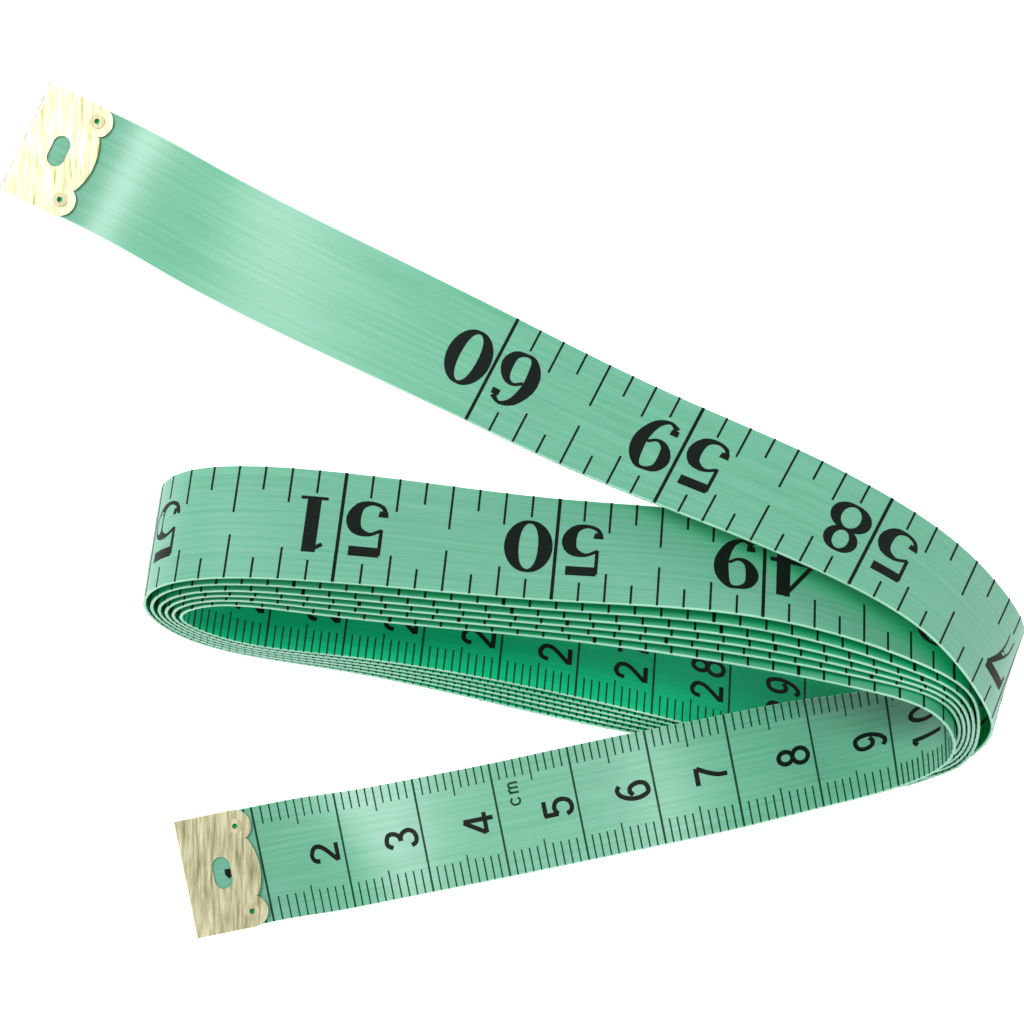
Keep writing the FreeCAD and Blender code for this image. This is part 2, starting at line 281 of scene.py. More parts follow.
def on_band(at, across, height):
    """Points on the band: distance from the metric end, across it, and off its middle.

    A positive height is on the inch face, a negative one on the centimetre face.
    """
    at = np.asarray(at, dtype=float)
    across = np.asarray(across, dtype=float)[..., None]
    height = np.asarray(height, dtype=float)[..., None]
    point = read_line(curve, at)
    point = point + read_line(across_line, at) * across + read_line(normal_line, at) * height
    return (point + SHIFT) * MM


# %% [markdown]
# ## Materials
# The real band is soft PVC (vinyl) pressed on a glass-fibre web, and the clips are
# thin brass-plated sheet. A flat colour would make both look like paper.
# Colours are given as they look on a screen and turned into linear light.
# The vinyl lets light through, so the inside of the coil glows a deeper green.
# Real scattering inside a 0.4 mm band takes many samples to settle, so a share of
# translucent shader stands for it, and a deeper colour and less shine are painted
# where the band's own turns enclose it: painted shade and painted glow.

# %% Material helpers
# Painted shade: where an ambient-occlusion node finds other turns within this reach, the vinyl takes a
# deeper colour and less shine.
ENCLOSED_REACH = 9.0     # how far a turn of the coil shades another, mm
ENCLOSED_BELOW = 0.22    # openness at which the vinyl has its enclosed colour
OPEN_ABOVE = 0.62        # openness at which it has its open colour
PAINTED_SHADE_SHINE = 0.08


def colour(code):
    """Linear RGBA from a hex colour."""
    values = [int(code[i:i + 2], 16) / 255 for i in (1, 3, 5)]
    linear = [v / 12.92 if v <= 0.04045 else ((v + 0.055) / 1.055) ** 2.4 for v in values]
    return (*linear, 1.0)


def node(material, kind, inputs=(), links=(), **settings):
    """Adds a shader node with its settings, its constant inputs and its links."""
    made = material.node_tree.nodes.new(kind)
    for name, value in settings.items():
        setattr(made, name, value)
    for name, value in dict(inputs).items():
        socket_of(made.inputs, name).default_value = value
    for name, source in dict(links).items():
        material.node_tree.links.new(source, socket_of(made.inputs, name))
    return made


def socket_of(sockets, name):
    """The usable socket of that name: a mixing node has one for each kind of data."""
    if isinstance(name, int):
        return sockets[name]
    return next(socket for socket in sockets if socket.name == name and socket.enabled)


def new_material(name):
    """A material with an empty node tree."""
    material = bpy.data.materials.new(name)
    material.use_nodes = True
    material.node_tree.nodes.clear()
    return material


def finish_material(material, shader):
    """Joins the last shader to the material's output."""
    node(material, "ShaderNodeOutputMaterial", links={"Surface": shader})


def band_pattern(material, length, width, detail):
    """Noise on the band, with marks of a length along it and a width across it, in mm."""
    place = node(material, "ShaderNodeUVMap", uv_map="band_mm")
    scaled = node(
        material, "ShaderNodeVectorMath", {1: (1 / length, 1 / width, 1.0)},
        {0: place.outputs[0]}, operation="MULTIPLY",
    )
    return node(
        material, "ShaderNodeTexNoise", {"Scale": 1.0, "Detail": detail, "Roughness": 0.55},
        {"Vector": scaled.outputs[0]},
    ).outputs["Fac"]


def ramp(material, source, low, high, first, second):
    """A soft step between two colours, over part of a pattern's range."""
    made = node(material, "ShaderNodeValToRGB", links={"Fac": source})
    made.color_ramp.elements[0].position = low
    made.color_ramp.elements[0].color = first
    made.color_ramp.elements[1].position = high
    made.color_ramp.elements[1].color = second
    return made.outputs["Color"]


# %% Vinyl
STREAK_LENGTH = 20.0     # faint streaks that the rollers leave along the band, mm
STREAK_WIDTH = 0.4545
GRAIN_LENGTH = 8.333     # the web's grain under the vinyl, coarser than real, so that it shows
GRAIN_WIDTH = 0.20


def vinyl(name, pale, dull, enclosed, glow, through, shine=0.5):
    """Glossy green vinyl with fine streaks along it, which lets some light through.

    Where the band is enclosed by its own turns, a deeper colour and less shine are
    painted in: painted shade, and painted glow of light that has passed through vinyl.
    """
    material = new_material(name)
    streaks = band_pattern(material, STREAK_LENGTH, STREAK_WIDTH, 4.0)
    lit = ramp(material, streaks, 0.35, 0.65, colour(dull), colour(pale))
    # Painted shade: ambient occlusion tells where other turns enclose the band.
    openness = node(
        material, "ShaderNodeAmbientOcclusion", {"Distance": ENCLOSED_REACH * MM}, samples=12,
    ).outputs["AO"]
    open_part = node(
        material, "ShaderNodeMapRange",
        {"From Min": ENCLOSED_BELOW, "From Max": OPEN_ABOVE, "To Min": 0.0, "To Max": 1.0},
        {"Value": openness}, interpolation_type="SMOOTHSTEP",
    )
    # Painted shade on the highlights: the shine drops where the band is enclosed.
    gloss = node(
        material, "ShaderNodeMapRange",
        {"From Max": 1.0, "To Min": PAINTED_SHADE_SHINE, "To Max": shine},
        {"Value": open_part.outputs[0]},
    )
    # The enclosed colour is painted shade, mixed in where the band is enclosed.
    tint = node(
        material, "ShaderNodeMix", {"A": colour(enclosed)},
        {"Factor": open_part.outputs[0], "B": lit}, data_type="RGBA",
    ).outputs[2]
    grain = band_pattern(material, GRAIN_LENGTH, GRAIN_WIDTH, 2.0)
    bump = node(
        material, "ShaderNodeBump", {"Strength": 0.10, "Distance": 0.00006}, {"Height": grain},
    )
    surface = node(
        material, "ShaderNodeBsdfPrincipled",
        {"Roughness": 0.38, "IOR": 1.60},
        {"Base Color": tint, "Normal": bump.outputs["Normal"], "Specular IOR Level": gloss.outputs[0]},
    )
    light = node(material, "ShaderNodeBsdfTranslucent", {"Color": colour(glow)})
    mixed = node(
        material, "ShaderNodeMixShader", {"Fac": through},
        {1: surface.outputs[0], 2: light.outputs[0]},
    )
    finish_material(material, mixed.outputs[0])
    return material


# %% Ink
INK_PIT = 0.3125         # size of the pits in the ink, mm


def printed_ink(name, tone, pit):
    """Dark ink with small pits where the vinyl shows through."""
    material = new_material(name)
    speckle = band_pattern(material, INK_PIT, INK_PIT, 2.0)
    tint = ramp(material, speckle, 0.66, 0.72, colour(tone), colour(pit))
    surface = node(
        material, "ShaderNodeBsdfPrincipled", {"Roughness": 0.55, "Specular IOR Level": 0.10},
        {"Base Color": tint},
    )
    finish_material(material, surface.outputs[0])
    return material


# %% Metal
CLIP_GRAIN = (5.0, 0.4444)       # length and width of the brushed lines, mm, coarser than real
EYELET_GRAIN = (13.333, 0.6667)


def metal(name, dark, light, rough, grain):
    """Brushed sheet metal: mottled along a fine grain."""
    length, width = grain
    material = new_material(name)
    place = node(material, "ShaderNodeTexCoord").outputs["Object"]
    turned = node(
        material, "ShaderNodeMapping",
        {"Rotation": (0.0, 0.0, math.radians(-METRIC_TIP_TURN)),
         "Scale": (1 / (width * MM), 1 / (length * MM), 1.0)},
        {"Vector": place},
    )
    brushed = node(
        material, "ShaderNodeTexNoise", {"Scale": 1.0, "Detail": 4.0, "Roughness": 0.6},
        {"Vector": turned.outputs[0]},
    ).outputs["Fac"]
    tint = ramp(material, brushed, 0.30, 0.72, colour(dark), colour(light))
    bump = node(material, "ShaderNodeBump", {"Strength": 0.25, "Distance": 0.00003}, {"Height": brushed})
    surface = node(
        material, "ShaderNodeBsdfPrincipled", {"Metallic": 1.0, "Roughness": rough},
        {"Base Color": tint, "Normal": bump.outputs["Normal"]},
    )
    finish_material(material, surface.outputs[0])
    return material


# %% Materials
# Calendered vinyl is smooth and even, so its highlights are broad and soft.
# The third colour of each vinyl is its painted shade, where its own turns enclose it.
band_vinyl = vinyl("green_vinyl", "#66A58D", "#549A7C", "#00B070", "#00B070", 0.30)
# A shaded copy of the same vinyl, where light reaches it only through other turns: deep green and little
# shine, painted shade and painted glow.
shaded_vinyl_copy = vinyl(
    "green_vinyl_painted_shade", "#18B886", "#04B078", "#00AA70", "#00C07C", 0.35, shine=0.10,
)
# A cut edge scatters light and looks pale, which draws a fine line round each turn.
band_edge = vinyl("cut_edge_vinyl", "#A8D8C4", "#90C8B0", "#30C890", "#40D8A0", 0.30)
# Screen-printed ink is matt and nearly black, with pinholes where it did not take.
black_ink = printed_ink("black_green_ink", "#020A06", "#123626")
green_ink = printed_ink("dark_green_ink", "#06301E", "#1C5038")
# Brass-plated sheet, brushed before it was folded: pale gold with fine dark lines.
clip_metal = metal("brushed_brass", "#88845A", "#E8E4C0", 0.32, CLIP_GRAIN)
# An eyelet is pressed, which polishes it: brighter and smoother than the clip.
eyelet_metal = metal("eyelet_brass", "#B4A878", "#F4ECC8", 0.20, EYELET_GRAIN)
FINISHES = (band_vinyl, shaded_vinyl_copy, band_edge, black_ink, green_ink, clip_metal, eyelet_metal)
print("materials", [material.name for material in FINISHES])

# %% [markdown]
# ## The printed scale
# The print on the real band is even, but the modelled route is about 14 mm short,
# so one rule for the whole band would put the marks beside their true places.
# Instead the places of some printed lines are given, and the rest fall between them.

# %% Printed scale
# Distances printed on the band, against distances along the modelled one.
INCH = 25.4
CLIP_OVER_END = 0.52
ONE_CM_PLACE = 9.6       # the metric clip hides this line
METRIC_ROOT_PRINT = 102.5
COIL_27_CM = 268.0
COIL_50_INCH = 1252.2
INCH_ROOT_PRINT = 57
INCH_LINES = 7
metric_root = joint_places["metric_root"]
inch_root = joint_places["inch_root"]


def station_place(number):
    """How far along the band a station is."""
    return float(np.interp(knots[number], fine, distance))


# The free ends' stations stand on printed lines: whole centimetres and half inches.
PRINT_PLACES, PRINT_VALUES = [0.0, ONE_CM_PLACE], [CLIP_OVER_END, 10.0]
FIRST_METRIC_STATION = 3
for number in range(len(METRIC_END)):
    PRINT_PLACES.append(station_place(FIRST_METRIC_STATION + number))
    PRINT_VALUES.append(10.0 * (number + 2))
# In the coil, the lines that show best fix the rest.
COIL_LINES = (
    (metric_root, METRIC_ROOT_PRINT), (COIL_27_CM, 270.0), (COIL_50_INCH, 50 * INCH),
)
for place, printed in COIL_LINES:
    PRINT_PLACES.append(place)
    PRINT_VALUES.append(printed)
for number in range(INCH_LINES):
    PRINT_PLACES.append(station_place(joint_stations["inch_root"] + number))
    PRINT_VALUES.append((INCH_ROOT_PRINT + number / 2) * INCH)
PRINT_PLACES.append(band_length)
PRINT_VALUES.append(PRINT_VALUES[-1] + band_length - PRINT_PLACES[-2])


def place_of(printed):
    """Where on the modelled band a printed distance lies."""
    return float(np.interp(printed, PRINT_VALUES, PRINT_PLACES))


print("print", [(round(a, 1), round(b, 1)) for a, b in zip(PRINT_PLACES, PRINT_VALUES)])

# %% [markdown]
# ## Cutting the band into pieces that can move
# The real free ends bend along their whole length. The CAD model gives each of them
# two bend lines, so the band is cut to match: each stretch rides on one CAD body,
# and a short stretch across each bend line stays fixed where it is, on no body.
# One mesh for the whole band would tear or stretch at the joints.
# A mark belongs to the stretch that its middle lies on.

# %% Stretches
METRIC_MID_REACH = 3.0   # half the length of each bend stretch, mm
METRIC_ROOT_REACH = 2.5
INCH_REACH = 6.6
metric_mid = joint_places["metric_mid"]
inch_mid = joint_places["inch_mid"]
cuts = [
    0.0,
    metric_mid - METRIC_MID_REACH, metric_mid + METRIC_MID_REACH,
    metric_root - METRIC_ROOT_REACH, metric_root + METRIC_ROOT_REACH,
    inch_root - INCH_REACH, inch_root + INCH_REACH,
    inch_mid - INCH_REACH, inch_mid + INCH_REACH,
    band_length,
]
# Name, body or the two bodies that it joins, and the bend line's place.
RIDES = [
    ("metric_leg_far", "metric_leg_far", None),
    ("metric_mid_bend", ("metric_leg_far", "metric_leg_near"), metric_mid),
    ("metric_leg_near", "metric_leg_near", None),
    ("metric_root_bend", ("metric_leg_near", "coil"), metric_root),
    ("coil", "coil", None),
    ("inch_root_bend", ("coil", "inch_leg_near"), inch_root),
    ("inch_leg_near", "inch_leg_near", None),
    ("inch_mid_bend", ("inch_leg_near", "inch_leg_far"), inch_mid),
    ("inch_leg_far", "inch_leg_far", None),
]
STRETCHES = [
    (name, start, end, bodies, centre)
    for (name, bodies, centre), start, end in zip(RIDES, cuts, cuts[1:])
]
print("stretches", [(name, round(end - start, 1)) for name, start, end, bodies, centre in STRETCHES])

# %% [markdown]
# ## Meshes and motion
# A bpy mesh can be made from plain lists of points and faces, which is quicker and
# more exact here than bending a grid with modifiers. The UVs are millimetres along
# and across the band, so every pattern keeps its real size however the band bends.


# %% Mesh helpers
CREASE_ANGLE = 38.0      # faces that meet at more than this keep a sharp line, degrees


def mesh_object(name, points, faces, materials, face_slots, coordinates):
    """A mesh object that is smooth but for its creases, with the band's millimetres as UVs."""
    mesh = bpy.data.meshes.new(name)
    mesh.from_pydata([tuple(p) for p in points], [], faces)
    for material in materials:
        mesh.materials.append(material)
    mesh.polygons.foreach_set("material_index", face_slots)
    layer = mesh.uv_layers.new(name="band_mm")
    corners = np.zeros(len(mesh.loops), dtype=np.int32)
    mesh.loops.foreach_get("vertex_index", corners)
    layer.data.foreach_set("uv", np.asarray(coordinates, dtype=np.float32)[corners].ravel())
    mesh.shade_smooth()
    mesh.set_sharp_from_angle(angle=math.radians(CREASE_ANGLE))
    mesh.update()
    made = bpy.data.objects.new(name, mesh)
    bpy.context.scene.collection.objects.link(made)
    return made


def attach(piece, bodies):
    """Rides a piece on its body, or leaves a bend stretch fixed where it is."""
    if isinstance(bodies, str):
        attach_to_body(piece, bodies)
        return
    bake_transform(piece)


# %% [markdown]
# ## The ribbon
# Each stretch is a closed strip with eased edges, swept along the curve.
# The real band is 0.4 mm thick, and its cut edge shows as a pale line on every turn,
# so it can't be a single sheet of faces. A Solidify modifier would give it thickness,
# but no eased edge, and no separate finishes for its two faces and its edges.

# %% Ribbon
EDGE_EASE = 0.08
STEP = 0.55         # along the band
STRIPS = 8          # across each face, so that a twisted face stays smooth
half_width = TAPE_WIDTH / 2
half_thick = BAND_THICKNESS / 2
face_line = np.linspace(-half_width + EDGE_EASE, half_width - EDGE_EASE, STRIPS + 1)
SECTION = [(-half_width, -half_thick + EDGE_EASE)]
SECTION += [(across, -half_thick) for across in face_line]
SECTION += [(half_width, -half_thick + EDGE_EASE), (half_width, half_thick - EDGE_EASE)]
SECTION += [(across, half_thick) for across in face_line[::-1]]
SECTION += [(-half_width, half_thick - EDGE_EASE)]
CM_STRIPS = range(1, STRIPS + 1)
INCH_STRIPS = range(STRIPS + 4, 2 * STRIPS + 4)


def ribbon(name, start, end, cm_face):
    """One stretch of the band, with its own finish on the centimetre face."""
    count = max(int((end - start) / STEP), 2)
    places = np.linspace(start, end, count + 1)
    size = len(SECTION)
    coordinates = []
    for at in places:
        for across, height in SECTION:
            coordinates.append((at, across))
    flat = np.array(coordinates)
    heights = np.tile([height for across, height in SECTION], len(places))
    points = on_band(flat[:, 0], flat[:, 1], heights)
    faces, slots = [], []
    for i in range(count):
        for k in range(size):
            here, following = i * size + k, i * size + (k + 1) % size
            faces.append((here, following, following + size, here + size))
            slots.append(0 if k in INCH_STRIPS else 2 if k in CM_STRIPS else 1)
    faces.append(tuple(range(size))[::-1])
    faces.append(tuple(range(count * size, (count + 1) * size)))
    slots += [1, 1]
    return mesh_object(name, points, faces, [band_vinyl, band_edge, cm_face], slots, coordinates)


band_pieces = {}
for name, start, end, bodies, centre in STRETCHES:
    #     The coil's centimetre face looks inwards, so it gets the shaded copy: painted shade and painted
    #     glow of light that has come through the vinyl.
    piece = ribbon("band_" + name, start, end, shaded_vinyl_copy if name == "coil" else band_vinyl)
    attach(piece, bodies)
    band_pieces[name] = piece
    print(piece.name, len(piece.data.polygons), "faces")

# %% [markdown]
# ## The numerals
# The real inch face has bold numerals with serifs, and the centimetre face plain ones.
# Blender's text objects could make them, but they would bring a font's shapes with
# them and lie flat. Here each digit is a few strokes in a box seven wide and ten high.
# A stroke is a list of points, each with the stroke's width there.
# The inch face uses the full widths and the serifs; the centimetre face
# uses the same strokes with one even width.

# %% Digit strokes
DIGIT_BOX = (7, 10)


def loop(centre_x, centre_y, radius_x, radius_y, thin, thick, count=16):
    """A closed oval that is thick at its sides and thin at its top and bottom."""
    points = []
    for i in range(count + 1):
        turn = 2 * math.pi * i / count
        side = abs(math.cos(turn)) ** 1.5
        points.append((
            centre_x + radius_x * math.cos(turn),
            centre_y + radius_y * math.sin(turn),
            thin + (thick - thin) * side,
        ))
    return points


SIX = [(5.7, 8.9, 0.9), (4.3, 9.75, 0.5), (2.5, 8.6, 1.2), (1.3, 5.6, 1.9), (1.35, 2.8, 1.9),
       (2.3, 0.6, 0.9), (3.6, 0.25, 0.5), (5.2, 1.0, 1.2), (5.8, 3.0, 1.8), (5.1, 5.2, 1.1),
       (3.7, 5.9, 0.5), (2.3, 5.0, 0.5)]
DIGITS = {
    "0": [loop(3.5, 5.0, 2.5, 4.7, 0.5, 2.0)],
    "1": [[(3.6, 0.2, 1.9), (3.6, 9.9, 1.9)], [(3.3, 9.5, 0.6), (1.7, 8.4, 0.6)]],
    "2": [[(1.2, 7.2, 0.6), (1.7, 9.1, 0.6), (3.4, 9.75, 0.6), (5.4, 8.6, 1.7), (5.6, 6.6, 1.9),
           (4.4, 4.6, 1.3), (2.2, 2.2, 0.7), (1.0, 0.9, 0.5)], [(0.8, 0.75, 1.4), (6.2, 0.75, 1.4)]],
    "3": [[(1.2, 8.0, 0.6), (2.0, 9.4, 0.6), (3.4, 9.75, 0.6), (5.2, 8.9, 1.4), (5.3, 7.0, 1.6),
           (4.2, 5.6, 0.8), (2.9, 5.3, 0.5)],
          [(2.9, 5.3, 0.5), (4.8, 4.8, 1.1), (5.8, 2.9, 1.9), (5.1, 1.0, 1.4), (3.3, 0.25, 0.6),
           (1.7, 0.7, 0.6), (1.0, 2.1, 0.6)]],
    "4": [[(4.5, 9.9, 0.6), (0.5, 3.1, 0.6)], [(0.3, 2.9, 0.7), (6.7, 2.9, 0.7)],
          [(4.7, 0.2, 1.9), (4.7, 9.9, 1.9)]],
    "5": [[(1.4, 9.1, 1.5), (5.9, 9.1, 1.5)], [(1.45, 9.6, 0.5), (1.45, 4.9, 0.5)],
          [(1.4, 5.0, 0.5), (3.2, 5.95, 0.6), (5.1, 5.2, 1.6), (5.7, 3.2, 2.0), (4.9, 1.0, 1.3),
           (3.2, 0.25, 0.6), (1.6, 0.8, 0.6), (1.0, 2.2, 0.6)]],
    "6": [SIX],
    "7": [[(0.9, 9.0, 1.6), (6.3, 9.0, 1.6)],
          [(6.2, 8.8, 0.7), (4.5, 5.9, 1.0), (3.3, 3.0, 1.7), (3.1, 0.2, 2.0)]],
    "8": [loop(3.5, 7.55, 1.9, 2.2, 0.5, 1.3), loop(3.5, 2.8, 2.35, 2.5, 0.5, 1.6)],
    "9": [[(7 - x, 10 - y, width) for x, y, width in SIX]],
}
SERIFS = {
    "1": [[(1.6, 0.25, 0.5), (5.6, 0.25, 0.5)]],
    "2": [[(1.5, 7.0, 1.4), (1.5, 8.1, 1.2)], [(6.3, 0.6, 0.5), (6.3, 2.5, 0.5)]],
    "3": [[(1.5, 7.6, 1.4), (1.5, 8.6, 1.0)], [(1.4, 1.6, 1.2), (1.4, 2.6, 1.4)]],
    "4": [[(3.0, 0.25, 0.5), (6.4, 0.25, 0.5)]],
    "5": [[(1.4, 1.5, 1.1), (1.4, 2.6, 1.4)]],
    "6": [[(5.5, 7.7, 1.2), (5.5, 8.8, 1.1)]],
    "7": [[(0.95, 9.6, 0.5), (0.95, 7.0, 0.5)]],
    "9": [[(1.5, 1.2, 1.1), (1.5, 2.3, 1.2)]],
}
LETTERS = {
    "c": [[(5.4, 5.4, 1), (3.6, 6.6, 1), (1.4, 5.2, 1), (1.1, 3.3, 1), (1.6, 1.2, 1), (3.6, 0.2, 1),
           (5.4, 1.5, 1)]],
    "m": [[(0.6, 0, 1), (0.6, 6.6, 1)], [(0.6, 4.9, 1), (2.1, 6.6, 1), (3.6, 5.2, 1), (3.6, 0, 1)],
          [(3.6, 4.9, 1), (5.1, 6.6, 1), (6.6, 5.2, 1), (6.6, 0, 1)]],
}


def smooth(points, parts):
    """More points on a smooth curve through a stroke's points."""
    points = np.array(points, dtype=float)
    if len(points) == 2:
        return points[0] + (points[1] - points[0]) * np.linspace(0, 1, parts + 1)[:, None]
    closed = np.allclose(points[0], points[-1])
    before = points[-2] if closed else 2 * points[0] - points[1]
    after = points[1] if closed else 2 * points[-1] - points[-2]
    padded = np.vstack((before, points, after))
    made = []
    for a, b, c, d in zip(padded, padded[1:], padded[2:], padded[3:]):
        for t in np.arange(parts) / parts:
            made.append(0.5 * (2 * b + (c - a) * t + (2 * a - 5 * b + 4 * c - d) * t**2
                               + (3 * b - a - 3 * c + d) * t**3))
    return np.vstack((made, points[-1]))


print("digits", len(DIGITS), "with serifs", len(SERIFS))

# %% [markdown]
# ## The print
# Real ink is a film a few hundredths of a millimetre thick on the vinyl.
# A texture could draw it, but its edges would blur in a close view.
# So every mark is a thin closed film of its own that follows the band: it stands
# a little proud of the face, and reaches a little into it so that no gap shows.
# Inch marks are on one face and centimetre marks on the other.

# %% Print helpers
INK_PROUD = 0.015
INK_SUNK = 0.03
LINE_PARTS = 6           # parts that a straight stroke is divided into
CURVE_PARTS = 3          # parts between two points of a curved stroke


class Print:
    """Collects the marks of one stretch and one face."""

    def __init__(self, side):
        self.side = side
        self.points, self.heights, self.faces, self.slots = [], [], [], []

    def film(self, left, right, ink):
        """A closed film between two lines of (distance, across) points."""
        base = len(self.points)
        count = len(left)
        surface = half_thick * self.side
        for line in (left, right):
            for height in (INK_PROUD, -INK_SUNK):
                self.points.extend(line)
                self.heights.extend([surface + height * self.side] * count)
        top_left, low_left, top_right, low_right = (base + count * k for k in range(4))
        rings = [(top_left, top_right), (top_right, low_right), (low_right, low_left), (low_left, top_left)]
        for i in range(count - 1):
            for first, second in rings:
                self.faces.append((first + i, first + i + 1, second + i + 1, second + i))
                self.slots.append(ink)
        for i in (0, count - 1):
            self.faces.append((top_left + i, top_right + i, low_right + i, low_left + i))
            self.slots.append(ink)

    def make(self, name):
        """Turns the collected marks into one mesh on the band."""
        flat = np.array(self.points)
        return mesh_object(
            name, on_band(flat[:, 0], flat[:, 1], self.heights), self.faces,
            [black_ink, green_ink], self.slots, flat,
        )


def tick(sheet, at, start, end, width, ink):
    """A straight mark across the band."""
    across = np.linspace(start, end, 3)
    left = [(at - width / 2, v) for v in across]
    right = [(at + width / 2, v) for v in across]
    sheet.film(left, right, ink)


def glyph(sheet, strokes, origin, to_right, to_top, scale, even_width, ink):
    """Draws strokes on the band, with even_width in millimetres or their own widths if 0."""
    for stroke in strokes:
        path = smooth(stroke, LINE_PARTS if len(stroke) == 2 else CURVE_PARTS)
        sideways = path[:, :1] * np.array(to_right) * scale[0]
        upwards = path[:, 1:2] * np.array(to_top) * scale[1]
        spots = sideways + upwards + np.array(origin)
        along = np.gradient(spots, axis=0)
        along /= np.linalg.norm(along, axis=1)[:, None] + 1e-9
        if np.allclose(spots[0], spots[-1]):
            along[0] = along[-1] = (along[0] + along[-1]) / np.linalg.norm(along[0] + along[-1])
        side = np.stack((-along[:, 1], along[:, 0]), axis=1)
        if even_width:
            half = np.full((len(spots), 1), even_width / 2)
        else:
            half = path[:, 2:3] / 2 * (scale[0] + scale[1]) / 2 * INCH_BOLDNESS
        sheet.film([tuple(p) for p in spots + side * half], [tuple(p) for p in spots - side * half], ink)


# %% [markdown]
# ## The marks of each scale
# On the inch face, lines cross the band at whole inches, with shorter ticks at
# halves, quarters and eighths on both edges, and the two digits stand either side
# of their line. On the other face the lines are centimetres with millimetre ticks,
# and the numbers read across the band. One loop for each scale draws them all.

# %% Print sizes
EDGE_MARGIN = 0.02       # how far short of the band's edge a mark stops
LAST_INCH = 60
LAST_MM = 1524
INCH_LINE = 0.42
INCH_TICK = 0.27
UPPER_INCH_TICKS = {8: 3.2, 4: 4.7, 2: 6.3}     # by division of an inch
LOWER_INCH_TICKS = {8: 2.7, 4: 4.2, 2: 5.7}
INCH_DIGIT = (5.7, 7.6)
INCH_DIGIT_GAP = 0.45
INCH_BOLDNESS = 1.12
CM_LINE = 0.28
CM_TICK = 0.20
UPPER_CM_TICKS = (2.4, 3.3)                      # a millimetre, five millimetres
LOWER_CM_TICKS = (3.1, 3.8)
CM_DIGIT = (3.0, 4.2)
CM_STROKE = 0.60
CM_DIGIT_GAP = 0.75
CM_BASELINE = 0.75
CM_LETTERS = (1.5, 2.0)
CM_LETTER_PITCH = 1.15   # in letter widths
CM_LETTER_STROKE = 0.28
UNIT_PLACE = 43.1
UNIT_ACROSS = -1.2
BLACK, GREEN = 0, 1
INCH_FACE, CM_FACE = 1, -1


def stroke_scale(size):
    """Millimetres for each unit of a digit's box, for a digit of that size."""
    return size[0] / DIGIT_BOX[0], size[1] / DIGIT_BOX[1]


def division(eighths):
    """Which part of an inch an eighth falls on."""
    if eighths % 4 == 0:
        return 2
    return 4 if eighths % 2 == 0 else 8


# %% Scales
def print_inches(sheet, start, end):
    """The inch face's lines, ticks and numerals that lie between two places."""
    for eighths in range(1, LAST_INCH * 8 + 1):
        at = place_of(eighths * INCH / 8)
        if not start <= at < end:
            continue
        if eighths % 8 == 0:
            tick(sheet, at, -half_width + EDGE_MARGIN, half_width - EDGE_MARGIN, INCH_LINE, BLACK)
            continue
        upper = UPPER_INCH_TICKS[division(eighths)]
        lower = LOWER_INCH_TICKS[division(eighths)]
        tick(sheet, at, -half_width + EDGE_MARGIN, -half_width + upper, INCH_TICK, BLACK)
        tick(sheet, at, half_width - EDGE_MARGIN, half_width - lower, INCH_TICK, BLACK)
    scale = stroke_scale(INCH_DIGIT)
    for inch in range(1, LAST_INCH + 1):
        line = place_of(inch * INCH)
        text = str(inch).rjust(2)
        lefts = (line - INCH_DIGIT_GAP - INCH_DIGIT[0], line + INCH_DIGIT_GAP)
        for digit, left in zip(text, lefts):
            centre = left + INCH_DIGIT[0] / 2
            if digit == " " or not start <= centre < end:
                continue
            strokes = DIGITS[digit] + SERIFS.get(digit, [])
            glyph(sheet, strokes, (left, -INCH_DIGIT[1] / 2), (1, 0), (0, 1), scale, 0, BLACK)


def print_centimetres(sheet, start, end):
    """The centimetre face's lines, ticks and numerals that lie between two places."""
    for tenths in range(1, LAST_MM + 1):
        at = place_of(tenths)
        if not start <= at < end:
            continue
        if tenths % 10 == 0:
            tick(sheet, at, -half_width + EDGE_MARGIN, half_width - EDGE_MARGIN, CM_LINE, GREEN)
            continue
        which = 1 if tenths % 5 == 0 else 0
        upper, lower = UPPER_CM_TICKS[which], LOWER_CM_TICKS[which]
        tick(sheet, at, -half_width + EDGE_MARGIN, -half_width + upper, CM_TICK, GREEN)
        tick(sheet, at, half_width - EDGE_MARGIN, half_width - lower, CM_TICK, GREEN)
    for count in range(1, LAST_MM // 10 + 1):
        base = place_of(count * 10) - CM_BASELINE
        if not start <= base - CM_DIGIT[1] / 2 < end:
            continue
        text = str(count)
        pitch = CM_DIGIT[0] + CM_DIGIT_GAP
        first = (pitch * len(text) - CM_DIGIT_GAP) / 2
        for k, digit in enumerate(text):
            origin = (base, first - pitch * k)
            scale = stroke_scale(CM_DIGIT)
            glyph(sheet, DIGITS[digit], origin, (0, -1), (-1, 0), scale, CM_STROKE, BLACK)


def print_unit(sheet, start, end):
    """A small unit sign between the fourth and fifth centimetre lines."""
    base = place_of(UNIT_PLACE)
    if not start <= base < end:
        return
    scale = stroke_scale(CM_LETTERS)
    for k, letter in enumerate("cm"):
        origin = (base, UNIT_ACROSS - k * CM_LETTERS[0] * CM_LETTER_PITCH)
        glyph(sheet, LETTERS[letter], origin, (0, -1), (-1, 0), scale, CM_LETTER_STROKE, GREEN)


# %% Print pieces
prints = {name: [] for name in band_pieces}
for name, start, end, bodies, centre in STRETCHES:
    for face, maker, label in ((INCH_FACE, print_inches, "inch"), (CM_FACE, print_centimetres, "cm")):
        sheet = Print(face)
        maker(sheet, start, end)
        if face == CM_FACE:
            print_unit(sheet, start, end)
        if not sheet.points:
            continue
        piece = sheet.make("print_" + label + "_" + name)
        attach(piece, bodies)
        prints[name].append(piece)
        print(piece.name, len(piece.data.polygons), "faces")

# %% [markdown]
# ## Clips and eyelets
# The real clip is a sheet folded over the band's end and held by two pressed eyelets.
# The CAD solids already have that shape, so they are shown as they are. Cut sheet is
# never quite sharp, so a small bevel eases each corner and lets it catch the light.

